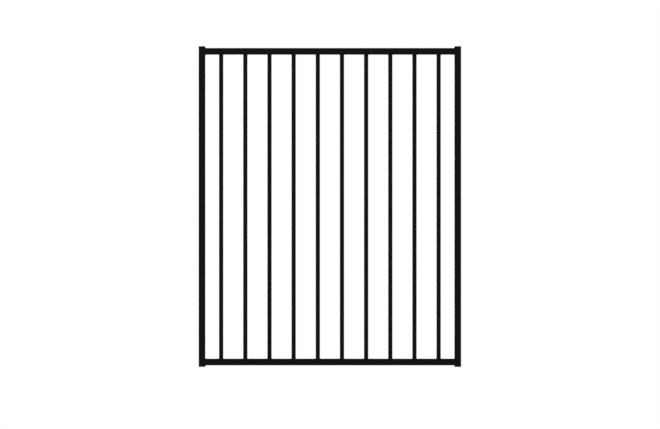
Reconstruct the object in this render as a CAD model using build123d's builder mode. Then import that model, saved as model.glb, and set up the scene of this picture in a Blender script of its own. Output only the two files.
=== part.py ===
"""Flat-top aluminium fence panel, in millimetres.

Two square-tube uprights and two square-tube rails are welded into a frame. Round tube pickets stand in
holes punched through the inner walls of the rails, butt on the far walls and are welded in. Pushed-in
caps close the ends of the uprights.

The origin is the centre of the left upright's outer face, which is fixed to a post. +X runs along the
panel to the right upright, +Y runs from its front to its back, and +Z is up.
"""

import os

from build123d import *

# Overall size, over the uprights and their caps
panel_width = 982.0
panel_height = 1200.0

# Square tube of the uprights
upright_width = 25.0
upright_depth = 25.0
upright_wall = 1.6

# Square tube of the rails, and how far each lies inside the ends of the panel
rail_height = 25.0
rail_depth = 25.0
rail_wall = 1.6
top_rail_drop = 6.8
bottom_rail_lift = 5.9

# Corners of both square tubes
tube_outer_radius = 1.0
tube_inner_radius = 0.4

# Round tube of the pickets
picket_diameter = 16.0
picket_wall = 1.2
picket_pitch = 90.4
picket_hole_clearance = 0.15

# End caps: a head that covers the cut end, and a hollow ribbed plug inside the tube
cap_head = 3.0
cap_edge_radius = 0.8
cap_plug_depth = 14.0
cap_plug_wall = 1.5
cap_plug_clearance = 1.2
cap_rib_clearance = 0.2
cap_rib_thickness = 0.8
cap_rib_pitch = 4.0
cap_rib_count = 3

# Legs of the fillet welds
rail_weld_leg = 1.5
picket_weld_leg = 1.2

# Heights worked out from the sizes above
panel_top = panel_height / 2
panel_bottom = -panel_height / 2
tube_top = panel_top - cap_head
tube_bottom = panel_bottom + cap_head
top_rail_top = panel_top - top_rail_drop
top_rail_bottom = top_rail_top - rail_height
bottom_rail_bottom = panel_bottom + bottom_rail_lift
bottom_rail_top = bottom_rail_bottom + rail_height
picket_top = top_rail_top - rail_wall
picket_bottom = bottom_rail_bottom + rail_wall

# Places along the panel. A rail takes one picket for each whole pitch, centred between the uprights.
left_inner_face = upright_width
right_inner_face = panel_width - upright_width
left_centre = upright_width / 2
right_centre = panel_width - upright_width / 2
rail_length = right_inner_face - left_inner_face
picket_count = int(rail_length // picket_pitch)
first_picket = panel_width / 2 - (picket_count - 1) * picket_pitch / 2
picket_places = [first_picket + i * picket_pitch for i in range(picket_count)]
picket_radius = picket_diameter / 2


def save(builder, name):
    """Labels a finished piece and writes it to its own file."""
    builder.part.label = name
    export_step(builder.part, f"parts/{name}.step")


def square_tube(width, depth, wall):
    """Draws the section of a square tube in the sketch that is open."""
    RectangleRounded(width, depth, tube_outer_radius)
    RectangleRounded(width - 2 * wall, depth - 2 * wall, tube_inner_radius, mode=Mode.SUBTRACT)


def make_upright(name, centre):
    """A length of square tube that stands between its two end caps."""
    with BuildPart() as upright:
        with BuildSketch(Plane(origin=(centre, 0, tube_bottom))):
            square_tube(upright_width, upright_depth, upright_wall)
        extrude(amount=tube_top - tube_bottom)
    save(upright, name)


def make_rail(name, bottom, inner_face, inner_normal):
    """A length of square tube between the uprights, punched for the pickets in its inner wall."""
    rail_start = Plane(
        origin=(left_inner_face, 0, bottom + rail_height / 2), x_dir=(0, 1, 0), z_dir=(1, 0, 0)
    )
    inner_wall = Plane(origin=(panel_width / 2, 0, inner_face), z_dir=(0, 0, inner_normal))
    with BuildPart() as rail:
        with BuildSketch(rail_start):
            square_tube(rail_depth, rail_height, rail_wall)
        extrude(amount=rail_length)
        with Locations(inner_wall):
            with GridLocations(picket_pitch, 0, picket_count, 1):
                Hole(radius=picket_radius + picket_hole_clearance, depth=rail_wall)
    save(rail, name)


def make_picket(name, place):
    """A round tube that goes through the inner walls of both rails and butts on their outer walls."""
    with BuildPart() as picket:
        with BuildSketch(Plane(origin=(place, 0, picket_bottom))):
            Circle(picket_radius)
            Circle(picket_radius - picket_wall, mode=Mode.SUBTRACT)
        extrude(amount=picket_top - picket_bottom)
    save(picket, name)


def make_cap(name, centre, seat, outwards):
    """A moulded cap: a flush head on the cut end of an upright, and a hollow ribbed plug inside it."""
    on_seat = Plane(origin=(centre, 0, seat), z_dir=(0, 0, outwards))
    bore_width = upright_width - 2 * upright_wall
    bore_depth = upright_depth - 2 * upright_wall
    plug_width = bore_width - 2 * cap_plug_clearance
    plug_depth = bore_depth - 2 * cap_plug_clearance
    with BuildPart() as cap:
        with BuildSketch(on_seat):
            RectangleRounded(upright_width, upright_depth, tube_outer_radius)
        extrude(amount=cap_head)
        outer_face = cap.faces().sort_by(Axis((0, 0, 0), (0, 0, outwards)))[-1]
        fillet(outer_face.edges(), radius=cap_edge_radius)
        with BuildSketch(on_seat):
            Rectangle(plug_width, plug_depth)
        extrude(amount=-cap_plug_depth)
        for rib in range(cap_rib_count):
            with BuildSketch(on_seat.offset(-(rib + 1) * cap_rib_pitch)):
                RectangleRounded(
                    bore_width - 2 * cap_rib_clearance,
                    bore_depth - 2 * cap_rib_clearance,
                    tube_inner_radius,
                )
            extrude(amount=cap_rib_thickness)
        with BuildSketch(on_seat):
            Rectangle(plug_width - 2 * cap_plug_wall, plug_depth - 2 * cap_plug_wall)
        extrude(amount=-cap_plug_depth, mode=Mode.SUBTRACT)
    save(cap, name)


def make_rail_weld(name, inner_face, inwards, rail_bottom):
    """Two fillet beads in the corners above and below the end of a rail, across the flat of the tubes."""
    bead_length = min(upright_depth, rail_depth) - 2 * tube_outer_radius
    with BuildPart() as weld:
        with BuildSketch(Plane.XZ):
            for corner, away in ((rail_bottom, -1), (rail_bottom + rail_height, 1)):
                with BuildLine():
                    Polyline(
                        (inner_face, corner),
                        (inner_face + inwards * rail_weld_leg, corner),
                        (inner_face, corner + away * rail_weld_leg),
                        close=True,
                    )
                make_face()
        extrude(amount=bead_length / 2, both=True)
    save(weld, name)


def make_picket_welds(name, inner_face, away):
    """A fillet bead round each picket, on the inner wall of a rail."""
    with BuildPart() as welds:
        for place in picket_places:
            with BuildSketch(Plane(origin=(place, 0, inner_face), x_dir=(1, 0, 0), z_dir=(0, -1, 0))):
                with BuildLine():
                    Polyline(
                        (picket_radius, 0),
                        (picket_radius + picket_weld_leg, 0),
                        (picket_radius, away * picket_weld_leg),
                        close=True,
                    )
                make_face()
            revolve(axis=Axis((place, 0, 0), (0, 0, 1)))
    save(welds, name)


os.makedirs("parts", exist_ok=True)

make_upright("left_upright", left_centre)
make_upright("right_upright", right_centre)

make_rail("top_rail", top_rail_bottom, top_rail_bottom, -1)
make_rail("bottom_rail", bottom_rail_bottom, bottom_rail_top, 1)

for number, place in enumerate(picket_places, start=1):
    make_picket(f"picket_{number:02d}", place)

for side, centre in (("left", left_centre), ("right", right_centre)):
    make_cap(f"top_{side}_cap", centre, tube_top, 1)
    make_cap(f"bottom_{side}_cap", centre, tube_bottom, -1)

for side, inner_face, inwards in (("left", left_inner_face, 1), ("right", right_inner_face, -1)):
    make_rail_weld(f"top_{side}_weld", inner_face, inwards, top_rail_bottom)
    make_rail_weld(f"bottom_{side}_weld", inner_face, inwards, bottom_rail_bottom)

make_picket_welds("top_picket_welds", top_rail_bottom, -1)
make_picket_welds("bottom_picket_welds", bottom_rail_top, 1)
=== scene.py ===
import math

import bmesh
import bpy
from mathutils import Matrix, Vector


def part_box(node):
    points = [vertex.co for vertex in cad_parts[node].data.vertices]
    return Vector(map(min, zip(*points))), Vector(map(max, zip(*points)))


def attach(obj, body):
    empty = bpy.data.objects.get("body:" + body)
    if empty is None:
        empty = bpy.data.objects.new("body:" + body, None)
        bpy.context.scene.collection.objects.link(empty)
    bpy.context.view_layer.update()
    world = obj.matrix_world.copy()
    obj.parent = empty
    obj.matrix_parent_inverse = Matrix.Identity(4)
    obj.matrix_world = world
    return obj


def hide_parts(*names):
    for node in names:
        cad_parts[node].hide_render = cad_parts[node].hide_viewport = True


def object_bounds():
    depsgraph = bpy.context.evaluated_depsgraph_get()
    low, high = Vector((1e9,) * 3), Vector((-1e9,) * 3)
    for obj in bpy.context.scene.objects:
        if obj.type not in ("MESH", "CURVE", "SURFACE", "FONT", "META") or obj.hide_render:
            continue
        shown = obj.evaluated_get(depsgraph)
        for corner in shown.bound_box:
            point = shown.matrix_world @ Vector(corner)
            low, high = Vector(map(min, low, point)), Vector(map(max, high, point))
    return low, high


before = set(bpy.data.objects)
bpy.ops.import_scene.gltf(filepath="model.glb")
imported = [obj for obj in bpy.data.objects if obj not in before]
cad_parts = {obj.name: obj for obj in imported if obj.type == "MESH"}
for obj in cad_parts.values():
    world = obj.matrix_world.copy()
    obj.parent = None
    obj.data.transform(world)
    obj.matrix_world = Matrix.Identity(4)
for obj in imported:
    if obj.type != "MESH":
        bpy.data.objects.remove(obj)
cad_low, cad_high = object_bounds()

# The uprights are two lengths of extruded square aluminium tube, cut square at both ends. The rails are
# welded to their inner faces. The whole welded panel is then powder-coated in satin black, which leaves a
# faint orange peel over the die lines of the tube.


class Wire:
    """A socket of a node tree. Arithmetic on it adds Math nodes, and node() adds any other node."""

    def __init__(self, tree, socket=None):
        self.tree = tree
        self.socket = socket

    def node(self, kind, settings=None, sockets=None, output=0):
        made = self.tree.nodes.new(kind)
        for name, value in (settings or {}).items():
            setattr(made, name, value)
        for name, value in (sockets or {}).items():
            self.feed(made.inputs[name], value)
        return Wire(self.tree, made.outputs[output])

    def feed(self, target, value):
        if isinstance(value, Wire):
            self.tree.links.new(value.socket, target)
        else:
            target.default_value = value

    def maths(self, operation, first, second=0.0):
        return self.node("ShaderNodeMath", {"operation": operation}, {0: first, 1: second})

    def vector(self, operation, first, second=(0.0, 0.0, 0.0), output=0):
        return self.node("ShaderNodeVectorMath", {"operation": operation}, {0: first, 1: second}, output)

    def __add__(self, other):
        return self.maths("ADD", self, other)

    def __radd__(self, other):
        return self.maths("ADD", other, self)

    def __sub__(self, other):
        return self.maths("SUBTRACT", self, other)

    def __rsub__(self, other):
        return self.maths("SUBTRACT", other, self)

    def __mul__(self, other):
        return self.maths("MULTIPLY", self, other)

    def __rmul__(self, other):
        return self.maths("MULTIPLY", other, self)

    def __truediv__(self, other):
        return self.maths("DIVIDE", self, other)

    def __rtruediv__(self, other):
        return self.maths("DIVIDE", other, self)


def noise(wire, coordinates, cell, detail):
    """Smooth noise from 0 to 1, with cells of that size in metres."""
    return wire.node(
        "ShaderNodeTexNoise",
        sockets={"Vector": coordinates, "Scale": 1 / cell, "Detail": detail},
    )


def mix_colours(wire, share, first, second):
    """A colour that goes from the first to the second. A Mix node has its colours in sockets 6 and 7."""
    return wire.node(
        "ShaderNodeMix", {"data_type": "RGBA"}, {"Factor": share, 6: first, 7: second}, output=2
    )


def new_material(name):
    """An empty material, its Principled shader and a wire to add nodes with."""
    material = bpy.data.materials.new(name)
    material.use_nodes = True
    return material, material.node_tree.nodes["Principled BSDF"], Wire(material.node_tree)


def along_corners(wire, place, tube):
    """1 along the four corners of a square tube, 0 on its flats."""
    start_of_corner = 0.0028
    end_of_corner = 0.0006
    low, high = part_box(tube)
    size = high - low
    length_axis = max(range(3), key=lambda axis: size[axis])
    across = [0.0 if axis == length_axis else 1.0 for axis in range(3)]
    outermost = size.dot(across) / 2
    from_middle = wire.vector("ABSOLUTE", wire.vector("SUBTRACT", place, (low + high) / 2))
    return wire.node(
        "ShaderNodeMapRange",
        {"interpolation_type": "SMOOTHSTEP"},
        {
            "Value": wire.vector("DOT_PRODUCT", from_middle, across, output="Value"),
            "From Min": outermost - start_of_corner,
            "From Max": outermost - end_of_corner,
        },
    )


def powder_coat(name, drawn_along=None, tube=None):
    """Satin black powder coat. The die lines under it are drawn out along an axis, on a drawn tube.

    The film is thinner and a little glossier along the corners of a square tube, which is given by name.
    The corners are also coloured lighter, partly for the thinner film and partly as a painted highlight
    along the edges.
    """
    # The paler colour serves both the random thin patches of film and the painted highlight along the
    # corners.
    thin_film_and_highlight = (0.0060, 0.0060, 0.0064, 1.0)
    thick_film = (0.0018, 0.0018, 0.0020, 1.0)
    relief_depth = 0.00015
    die_line_stretch = 100
    material, shader, wire = new_material(name)
    place = wire.node("ShaderNodeTexCoord", output="Object")
    draw = [1 / die_line_stretch if axis == drawn_along else 1.0 for axis in "XYZ"]
    along_tube = wire.node("ShaderNodeMapping", sockets={"Vector": place, "Scale": draw})
    cloud = noise(wire, place, cell=0.09, detail=3.0)
    peel = noise(wire, place, cell=0.0024, detail=1.0)
    grain = noise(wire, place, cell=0.0005, detail=0.0)
    die_lines = noise(wire, along_tube, cell=0.0011, detail=2.0)
    thinness_and_highlight = 0.25 * cloud + 0.1 * grain
    roughness = 0.44 + 0.12 * cloud + 0.04 * die_lines
    if tube:
        corners = along_corners(wire, place, tube)
        # Painted highlight: the corners are coloured lighter, partly for the thinner film and partly to
        # stand for the light caught along the edges.
        thinness_and_highlight = thinness_and_highlight + 0.6 * cloud * corners
        roughness = roughness - 0.08 * corners
    relief = wire.node(
        "ShaderNodeBump",
        sockets={
            "Strength": 0.8,
            "Distance": relief_depth,
            "Height": 0.65 * peel + 0.1 * grain + 0.25 * die_lines,
        },
    )
    wire.feed(shader.inputs["Base Color"], mix_colours(wire, thinness_and_highlight, thick_film, thin_film_and_highlight))
    wire.feed(shader.inputs["Roughness"], roughness)
    wire.feed(shader.inputs["Normal"], relief)
    shader.inputs["Specular IOR Level"].default_value = 0.06
    return material


for node in ("left_upright", "right_upright"):
    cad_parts[node].data.materials[0] = powder_coat(node + "_coat", drawn_along="Z", tube=node)

# The rails are two more lengths of the same square tube, laid flush with the uprights front and back.
# Their inner walls are punched with a round hole for each picket, and they get the same coat.

for node in ("top_rail", "bottom_rail"):
    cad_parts[node].data.materials[0] = powder_coat(node + "_coat", drawn_along="X", tube=node)

# The pickets are round drawn aluminium tubes. Each goes through the inner walls of both rails and butts
# on their outer walls. They are set out at one pitch, and get the same coat as the frame.

picket_nodes = sorted(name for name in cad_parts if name.startswith("picket_"))
picket_boxes = [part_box(name) for name in picket_nodes]
picket_places = [(low.x + high.x) / 2 for low, high in picket_boxes]
picket_low, picket_high = picket_boxes[0]
picket_radius = (picket_high.x - picket_low.x) / 2
picket_wall = 0.0012
picket_sides = 72
crisp_angle = math.radians(40)


def new_tree(name, sizes):
    """A geometry tree with a mesh in and out, and a named input for each size."""
    tree = bpy.data.node_groups.new(name, "GeometryNodeTree")
    tree.interface.new_socket("Geometry", in_out="OUTPUT", socket_type="NodeSocketGeometry")
    tree.interface.new_socket("Geometry", in_out="INPUT", socket_type="NodeSocketGeometry")
    for size, kind in sizes.items():
        tree.interface.new_socket(size, in_out="INPUT", socket_type=kind)
    wire = Wire(tree)
    group = tree.nodes.new("NodeGroupInput")
    inputs = {socket.name: Wire(tree, socket) for socket in group.outputs}
    return tree, wire, inputs


def end_tree(wire, shape, material):
    """Realizes what the tree made, gives it its material and hands it out."""
    real = wire.node("GeometryNodeRealizeInstances", sockets={"Geometry": shape})
    dressed = wire.node("GeometryNodeSetMaterial", sockets={"Geometry": real, "Material": material})
    wire.feed(wire.tree.nodes.new("NodeGroupOutput").inputs["Geometry"], dressed)


def grow(name, tree, start, values):
    """Runs a tree on a starting mesh, and keeps the result as a plain mesh with crisp edges."""
    piece = bpy.data.objects.new(name, start)
    bpy.context.scene.collection.objects.link(piece)
    modifier = piece.modifiers.new(name, "NODES")
    modifier.node_group = tree
    for item in tree.interface.items_tree:
        if item.name in values:
            modifier[item.identifier] = values[item.name]
    evaluated = piece.evaluated_get(bpy.context.evaluated_depsgraph_get())
    mesh = bpy.data.meshes.new_from_object(evaluated)
    piece.modifiers.remove(modifier)
    piece.data = mesh
    mesh.name = name
    mesh.shade_smooth()
    mesh.set_sharp_from_angle(angle=crisp_angle)
    return piece


picket_tree, wire, sizes = new_tree(
    "picket row",
    {
        "Radius": "NodeSocketFloat",
        "Wall": "NodeSocketFloat",
        "Length": "NodeSocketFloat",
        "Sides": "NodeSocketInt",
        "Count": "NodeSocketInt",
        "First": "NodeSocketVector",
        "Step": "NodeSocketVector",
        "Coat": "NodeSocketMaterial",
    },
)
middle_of_wall = wire.node(
    "GeometryNodeCurvePrimitiveCircle",
    sockets={"Resolution": sizes["Sides"], "Radius": sizes["Radius"] - sizes["Wall"] / 2},
)
wall_section = wire.node(
    "GeometryNodeCurvePrimitiveQuadrilateral",
    sockets={"Width": sizes["Wall"], "Height": sizes["Length"]},
)
tube = wire.node(
    "GeometryNodeCurveToMesh", sockets={"Curve": middle_of_wall, "Profile Curve": wall_section}
)
row = wire.node(
    "GeometryNodeMeshLine",
    sockets={"Count": sizes["Count"], "Start Location": sizes["First"], "Offset": sizes["Step"]},
)
pickets_in_row = wire.node("GeometryNodeInstanceOnPoints", sockets={"Points": row, "Instance": tube})
end_tree(wire, pickets_in_row, sizes["Coat"])

picket_coat = powder_coat("picket_coat", drawn_along="Z")
pickets = grow(
    "pickets",
    picket_tree,
    bpy.data.meshes.new("picket start"),
    {
        "Radius": picket_radius,
        "Wall": picket_wall,
        "Length": picket_high.z - picket_low.z,
        "Sides": picket_sides,
        "Count": len(picket_nodes),
        "First": (picket_places[0], 0.0, (picket_low.z + picket_high.z) / 2),
        "Step": (picket_places[1] - picket_places[0], 0.0, 0.0),
        "Coat": picket_coat,
    },
)
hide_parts(*picket_nodes)
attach(pickets, "root")

# The picket welds are beads of filler run round each picket where it enters a rail. They are laid in
# short overlapping steps, so they are rippled, and the coat covers them.

steps_in_ripple = 8
points_across_bead = 9
root_depth = 0.5  # how far the root of a bead lies behind the corner, in legs
crescent = 0.4  # how far a ripple runs ahead at the toes of the bead, in ripples
toe_smoothness = 0.65  # share of a ripple's depth that is gone at the toes
coat_fill = 0.05  # rounds the valleys between the ripples, as the coat does
lump_size = 0.004
smallest_end = 0.3  # size of a bead at its very end, as a share
tiny = 1e-6  # keeps a division from meeting zero

bead_tree, wire, sizes = new_tree(
    "weld bead",
    {
        "Leg": "NodeSocketFloat",
        "Upwards": "NodeSocketFloat",
        "Ripple Length": "NodeSocketFloat",
        "Ripple Depth": "NodeSocketFloat",
        "Unevenness": "NodeSocketFloat",
        "End Length": "NodeSocketFloat",
        "Coat": "NodeSocketMaterial",
    },
)


def keep(wire, geometry, name, kind, value):
    """Stores a value on the points of a geometry under a name."""
    return wire.node(
        "GeometryNodeStoreNamedAttribute",
        {"data_type": kind},
        {"Geometry": geometry, "Name": name, "Value": value},
    )


def kept(wire, name, kind):
    """The value that was stored under a name."""
    return wire.node("GeometryNodeInputNamedAttribute", {"data_type": kind}, {"Name": name})


# The route of a bead, with what each point of the bead needs to know about its place on it
route = wire.node("GeometryNodeMeshToCurve", sockets={"Mesh": sizes["Geometry"]})
route = wire.node(
    "GeometryNodeResampleCurve",
    {"mode": "LENGTH"},
    {"Curve": route, "Length": sizes["Ripple Length"] / steps_in_ripple},
)
route = wire.node("GeometryNodeSetCurveNormal", {"mode": "Z_UP"}, {"Curve": route})
travelled = wire.node("GeometryNodeSplineParameter", output="Length")
route_length = wire.node("GeometryNodeSplineLength", output="Length")
ripple_count = wire.maths("ROUND", route_length / sizes["Ripple Length"])
from_end = wire.maths("MINIMUM", travelled, route_length - travelled)
into_end = wire.maths("MINIMUM", (from_end + tiny) / (sizes["End Length"] + tiny), 1.0)
swell = smallest_end + (1 - smallest_end) * wire.maths("SQRT", into_end * (2 - into_end))
route = keep(wire, route, "corner", "FLOAT_VECTOR", wire.node("GeometryNodeInputPosition"))
route = keep(wire, route, "ripples", "FLOAT", ripple_count * travelled / route_length)
route = keep(wire, route, "swell", "FLOAT", swell)

# A smooth bead: a rounded section, with its root behind the corner, swept along the route
toe_angle = math.atan2(root_depth, 1 + root_depth)
section = wire.node(
    "GeometryNodeCurveArc",
    {"mode": "RADIUS"},
    {
        "Resolution": points_across_bead,
        "Radius": sizes["Leg"] * math.hypot(root_depth, 1 + root_depth),
        "Start Angle": sizes["Upwards"] * -toe_angle,
        "Sweep Angle": sizes["Upwards"] * (2 * toe_angle - math.pi / 2),
        "Connect Center": True,
    },
)
root = wire.node(
    "ShaderNodeCombineXYZ",
    sockets={"X": sizes["Leg"] * -root_depth, "Y": sizes["Leg"] * sizes["Upwards"] * root_depth},
)
section = wire.node("GeometryNodeTransform", sockets={"Geometry": section, "Translation": root})
bead = wire.node(
    "GeometryNodeCurveToMesh", sockets={"Curve": route, "Profile Curve": section, "Fill Caps": True}
)

# The ripples, lumps and rounded ends, which move each point of the bead to or from the corner
corner = kept(wire, "corner", "FLOAT_VECTOR")
from_corner = wire.vector("SUBTRACT", wire.node("GeometryNodeInputPosition"), corner)
height = wire.node("ShaderNodeSeparateXYZ", sockets={"Vector": from_corner}, output="Z")
rise = wire.maths("ABSOLUTE", height)
level = wire.vector("MULTIPLY", from_corner, (1.0, 1.0, 0.0))
reach = wire.vector("LENGTH", level, output="Value")
to_toe = (reach - rise) / (reach + rise + tiny)
to_toe = to_toe * to_toe
wave = wire.maths("SINE", math.pi * (kept(wire, "ripples", "FLOAT") - crescent * to_toe))
ripple = wire.maths("SQRT", wave * wave + coat_fill)
depth = sizes["Ripple Depth"] * (1 - toe_smoothness * to_toe)
lumps = noise(wire, corner, cell=lump_size, detail=1.0)
width = 1 - depth * (1 - ripple) + sizes["Unevenness"] * (lumps - 0.5)
growth = wire.node(
    "ShaderNodeVectorMath",
    {"operation": "SCALE"},
    {0: from_corner, "Scale": width * kept(wire, "swell", "FLOAT") - 1},
)
bead = wire.node("GeometryNodeSetPosition", sockets={"Geometry": bead, "Offset": growth})

# The section of an upward bead runs the other way round, so its faces are turned outwards
bead = wire.node("GeometryNodeFlipFaces", sockets={"Mesh": bead, "Selection": sizes["Upwards"]})
for name in ("corner", "ripples", "swell"):
    bead = wire.node("GeometryNodeRemoveAttribute", sockets={"Geometry": bead, "Name": name})
end_tree(wire, bead, sizes["Coat"])

weld_coat = powder_coat("weld_coat")


def route_mesh(name, runs, closed):
    """A mesh of edges along each run of points, for a bead to follow."""
    edges = []
    points = []
    for run in runs:
        first = len(points)
        points.extend(run)
        edges.extend((first + i, first + i + 1) for i in range(len(run) - 1))
        if closed:
            edges.append((first + len(run) - 1, first))
    mesh = bpy.data.meshes.new(name)
    mesh.from_pydata(points, edges, [])
    return mesh


def lay_beads(name, node, runs, closed, values):
    """Lays beads along runs of points in place of a weld node, and fixes them to the panel."""
    route = route_mesh(name + " route", runs, closed)
    beads = grow(name, bead_tree, route, {"Coat": weld_coat, **values})
    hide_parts(node)
    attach(beads, "root")


ring_points = 96
turns = [math.tau * i / ring_points for i in range(ring_points)]
for node, rail, upwards in (
    ("top_picket_welds", "top_rail", -1),
    ("bottom_picket_welds", "bottom_rail", 1),
):
    weld_low, weld_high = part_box(node)
    rail_low, rail_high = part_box(rail)
    corner_height = rail_high.z if upwards > 0 else rail_low.z
    rings = [
        [
            (place + picket_radius * math.cos(turn), picket_radius * math.sin(turn), corner_height)
            for turn in turns
        ]
        for place in picket_places
    ]
    lay_beads(
        node + "_beads",
        node,
        rings,
        closed=True,
        values={
            "Leg": weld_high.z - weld_low.z,
            "Upwards": upwards,
            "Ripple Length": 0.0017,
            "Ripple Depth": 0.15,
            "Unevenness": 0.16,
            "End Length": 0.0,
        },
    )

# The rail welds are heavier beads in the corners above and below each end of a rail, across the flat of
# the tubes. They are rounded off at both ends, where the torch was lifted.

for node in ("top_left_weld", "top_right_weld", "bottom_left_weld", "bottom_right_weld"):
    weld_low, weld_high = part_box(node)
    rail_low, rail_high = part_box("top_rail" if "top" in node else "bottom_rail")
    face, start, end = weld_low.x, weld_low.y, weld_high.y
    if "right" in node:
        face, start, end = weld_high.x, weld_high.y, weld_low.y
    for side, corner_height, upwards in (("over", rail_high.z, 1), ("under", rail_low.z, -1)):
        lay_beads(
            f"{node}_{side}_bead",
            node,
            [[(face, start, corner_height), (face, end, corner_height)]],
            closed=False,
            values={
                "Leg": weld_high.x - weld_low.x,
                "Upwards": upwards,
                "Ripple Length": 0.0021,
                "Ripple Depth": 0.14,
                "Unevenness": 0.12,
                "End Length": 0.0016,
            },
        )

# The end caps are moulded in black plastic and pushed into the ends of the uprights. A flush head with
# rounded edges covers the cut tube, and a hollow ribbed plug grips it inside.

upright_wall = 0.0016
cap_head = 0.003
cap_edge = 0.0008
cap_corner = 0.001
cap_plug_depth = 0.014
cap_plug_wall = 0.0015
cap_plug_clearance = 0.0012
cap_rib_clearance = 0.0002
cap_rib_thickness = 0.0008
cap_rib_pitch = 0.004
cap_rib_count = 3
gate_radius = 0.0016
gate_floor_radius = 0.0013
gate_depth = 0.0003
points_in_corner = 9
points_in_outline = 4 * (points_in_corner + 2)
steps_in_edge = 5
flat_margin = 0.0002


def cap_plastic(name):
    """Moulded black plastic with a fine spark-eroded texture, paler where the melt cooled last."""
    early_melt = (0.0050, 0.0050, 0.0050, 1.0)
    late_melt = (0.0080, 0.0080, 0.0083, 1.0)
    texture_depth = 0.00004
    material, shader, wire = new_material(name)
    place = wire.node("ShaderNodeTexCoord", output="Object")
    texture = noise(wire, place, cell=0.0005, detail=2.0)
    flow = noise(wire, place, cell=0.012, detail=2.0)
    relief = wire.node(
        "ShaderNodeBump", sockets={"Strength": 0.5, "Distance": texture_depth, "Height": texture}
    )
    wire.feed(shader.inputs["Base Color"], mix_colours(wire, flow, early_melt, late_melt))
    wire.feed(shader.inputs["Roughness"], 0.52 + 0.1 * flow + 0.08 * texture)
    wire.feed(shader.inputs["Normal"], relief)
    shader.inputs["Specular IOR Level"].default_value = 0.08
    return material


def rounded_square(half, corner, height):
    """The points of a square with rounded corners, counter-clockwise, at a height along the tube.

    One more point on the flat at each end of a corner keeps the shading of the flats even.
    """
    centre = half - corner
    turns = [math.radians(90) * step / (points_in_corner - 1) for step in range(points_in_corner)]
    arc = [(centre + corner * math.cos(turn), centre + corner * math.sin(turn)) for turn in turns]
    quarter = [(half, centre - flat_margin), *arc, (centre - flat_margin, half)]
    points = []
    for _ in range(4):
        points.extend((x, y, height) for x, y in quarter)
        quarter = [(-y, x) for x, y in quarter]
    return points


def gate_ring(radius, height):
    """A circle round the gate mark in the middle of the head, with as many points as a rounded square."""
    turns = [math.tau * (step + 0.5) / points_in_outline for step in range(points_in_outline)]
    return [(radius * math.cos(turn), radius * math.sin(turn), height) for turn in turns]


def cap_outlines(half):
    """The outlines that a cap's skin runs through, from the middle of its head to the end of its bore."""
    plug_half = half - upright_wall - cap_plug_clearance
    rib_half = half - upright_wall - cap_rib_clearance
    bore_half = plug_half - cap_plug_wall
    outlines = [
        gate_ring(gate_floor_radius, cap_head - gate_depth),
        gate_ring(gate_radius, cap_head),
        rounded_square(half - cap_edge - flat_margin, cap_corner - cap_edge, cap_head),
    ]
    for step in range(steps_in_edge + 1):
        turn = math.radians(90) * step / steps_in_edge
        inset = cap_edge * (1 - math.sin(turn))
        drop = cap_edge * (1 - math.cos(turn))
        outlines.append(rounded_square(half - inset, cap_corner - inset, cap_head - drop))
    outlines.append(rounded_square(half, cap_corner, cap_head - cap_edge - flat_margin))
    outlines.append(rounded_square(half, cap_corner, 0.0))
    outlines.append(rounded_square(plug_half, cap_corner, 0.0))
    for rib in range(1, cap_rib_count + 1):
        rib_end = -rib * cap_rib_pitch
        rib_start = rib_end + cap_rib_thickness
        outlines.append(rounded_square(plug_half, cap_corner, rib_start))
        outlines.append(rounded_square(rib_half, cap_corner, rib_start))
        outlines.append(rounded_square(rib_half, cap_corner, rib_end))
        outlines.append(rounded_square(plug_half, cap_corner, rib_end))
    outlines.append(rounded_square(plug_half, cap_corner, -cap_plug_depth))
    outlines.append(rounded_square(bore_half, cap_corner, -cap_plug_depth))
    outlines.append(rounded_square(bore_half, cap_corner, 0.0))
    return outlines


def make_cap(name, material):
    """Skins the outlines of a cap, and sets it on the end of its upright."""
    low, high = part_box(name)
    half = (high.x - low.x) / 2
    centre_x = (low.x + high.x) / 2
    is_top = high.z > 0
    seat = high.z - cap_head if is_top else low.z + cap_head
    outwards = 1 if is_top else -1
    shape = bmesh.new()
    rings = []
    for outline in cap_outlines(half):
        rings.append(
            [shape.verts.new((centre_x + x, y, seat + outwards * z)) for x, y, z in outline]
        )
    for upper, lower in zip(rings, rings[1:]):
        for i in range(points_in_outline):
            j = (i + 1) % points_in_outline
            shape.faces.new((upper[i], upper[j], lower[j], lower[i]))
    shape.faces.new(rings[0])
    shape.faces.new(rings[-1])
    bmesh.ops.recalc_face_normals(shape, faces=shape.faces)
    mesh = bpy.data.meshes.new(name + "_moulding")
    shape.to_mesh(mesh)
    shape.free()
    mesh.shade_smooth()
    mesh.set_sharp_from_angle(angle=crisp_angle)
    mesh.materials.append(material)
    cap = bpy.data.objects.new(name + "_moulding", mesh)
    bpy.context.scene.collection.objects.link(cap)
    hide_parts(name)
    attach(cap, "root")


moulded_black = cap_plastic("cap_plastic_black")
for name in ("top_left_cap", "top_right_cap", "bottom_left_cap", "bottom_right_cap"):
    make_cap(name, moulded_black)

# The studio is a plain pale floor under the panel and a white surround. A broad soft light stands high at
# the front left and throws the shadow, and a weaker one at the back right lifts the edges.

floor_reach = 40.0
floor_colour = (0.80, 0.80, 0.80, 1.0)
floor_roughness = 0.9
floor_lift = 0.17
surround_light = 0.55
white = (1.0, 1.0, 1.0, 1.0)

middle = (cad_low + cad_high) / 2
floor_mesh = bpy.data.meshes.new("floor")
floor_mesh.from_pydata(
    [
        (middle.x + x * floor_reach, middle.y + y * floor_reach, cad_low.z)
        for x, y in ((-1, -1), (1, -1), (1, 1), (-1, 1))
    ],
    [],
    [(0, 1, 2, 3)],
)
floor = bpy.data.objects.new("floor", floor_mesh)
bpy.context.scene.collection.objects.link(floor)


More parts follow.
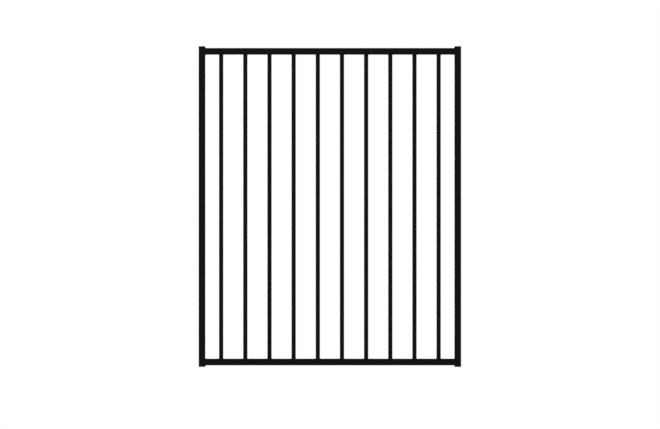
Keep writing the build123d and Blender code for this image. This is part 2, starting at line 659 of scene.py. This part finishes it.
def seen_rays(wire):
    """1 for what the camera sees, straight or in a reflection or through glass, and 0 for other light."""
    rays = "ShaderNodeLightPath"
    straight = wire.node(rays, output="Is Camera Ray")
    mirrored = wire.node(rays, output="Is Glossy Ray")
    through = wire.node(rays, output="Is Transmission Ray")
    return straight + mirrored + through


floor_paint, floor_shader, wire = new_material("floor_paint")
floor_shader.inputs["Base Color"].default_value = floor_colour
floor_shader.inputs["Roughness"].default_value = floor_roughness
floor_shader.inputs["Specular IOR Level"].default_value = 0.0
floor_shader.inputs["Emission Color"].default_value = white
wire.feed(floor_shader.inputs["Emission Strength"], floor_lift * seen_rays(wire))
floor_mesh.materials.append(floor_paint)

world = bpy.data.worlds.new("studio")
world.use_nodes = True
bpy.context.scene.world = world
wire = Wire(world.node_tree)
background = world.node_tree.nodes["Background"]
background.inputs["Color"].default_value = white
wire.feed(background.inputs["Strength"], surround_light + (1 - surround_light) * seen_rays(wire))


def soft_light(name, place, spread, strength):
    """A light as broad as its spread in degrees, far off beyond a place, that shines on the panel."""
    lamp = bpy.data.lights.new(name, "SUN")
    lamp.angle = math.radians(spread)
    lamp.energy = strength
    light = bpy.data.objects.new(name, lamp)
    light.location = place
    light.rotation_euler = (middle - light.location).to_track_quat("-Z", "Y").to_euler()
    bpy.context.scene.collection.objects.link(light)


soft_light("front_light", (middle.x - 2.2, -2.6, 3.0), spread=28.0, strength=1.6)
soft_light("back_light", (middle.x + 2.4, 2.2, 2.6), spread=40.0, strength=0.8)

# The camera looks straight at the front of the panel, level and with no perspective, as the photograph
# does. Its scale and place come from where the panel's edges lie in the photograph.

photo_columns = 660
photo_rows = 429
panel_left_column = 198.62
panel_right_column = 461.17
panel_top_row = 46.20
panel_bottom_row = 366.94
camera_distance = 6.0

metres_per_pixel = (cad_high.z - cad_low.z) / (panel_bottom_row - panel_top_row)
off_centre_columns = photo_columns / 2 - (panel_left_column + panel_right_column) / 2
off_centre_rows = photo_rows / 2 - (panel_top_row + panel_bottom_row) / 2
lens = bpy.data.cameras.new("camera")
lens.type = "ORTHO"
lens.ortho_scale = photo_columns * metres_per_pixel
camera = bpy.data.objects.new("camera", lens)
camera.location = (
    middle.x + off_centre_columns * metres_per_pixel,
    middle.y - camera_distance,
    middle.z - off_centre_rows * metres_per_pixel,
)
camera.rotation_euler = (math.radians(90), 0.0, 0.0)
bpy.context.scene.collection.objects.link(camera)
bpy.context.scene.camera = camera
bpy.context.scene.view_settings.view_transform = "Standard"
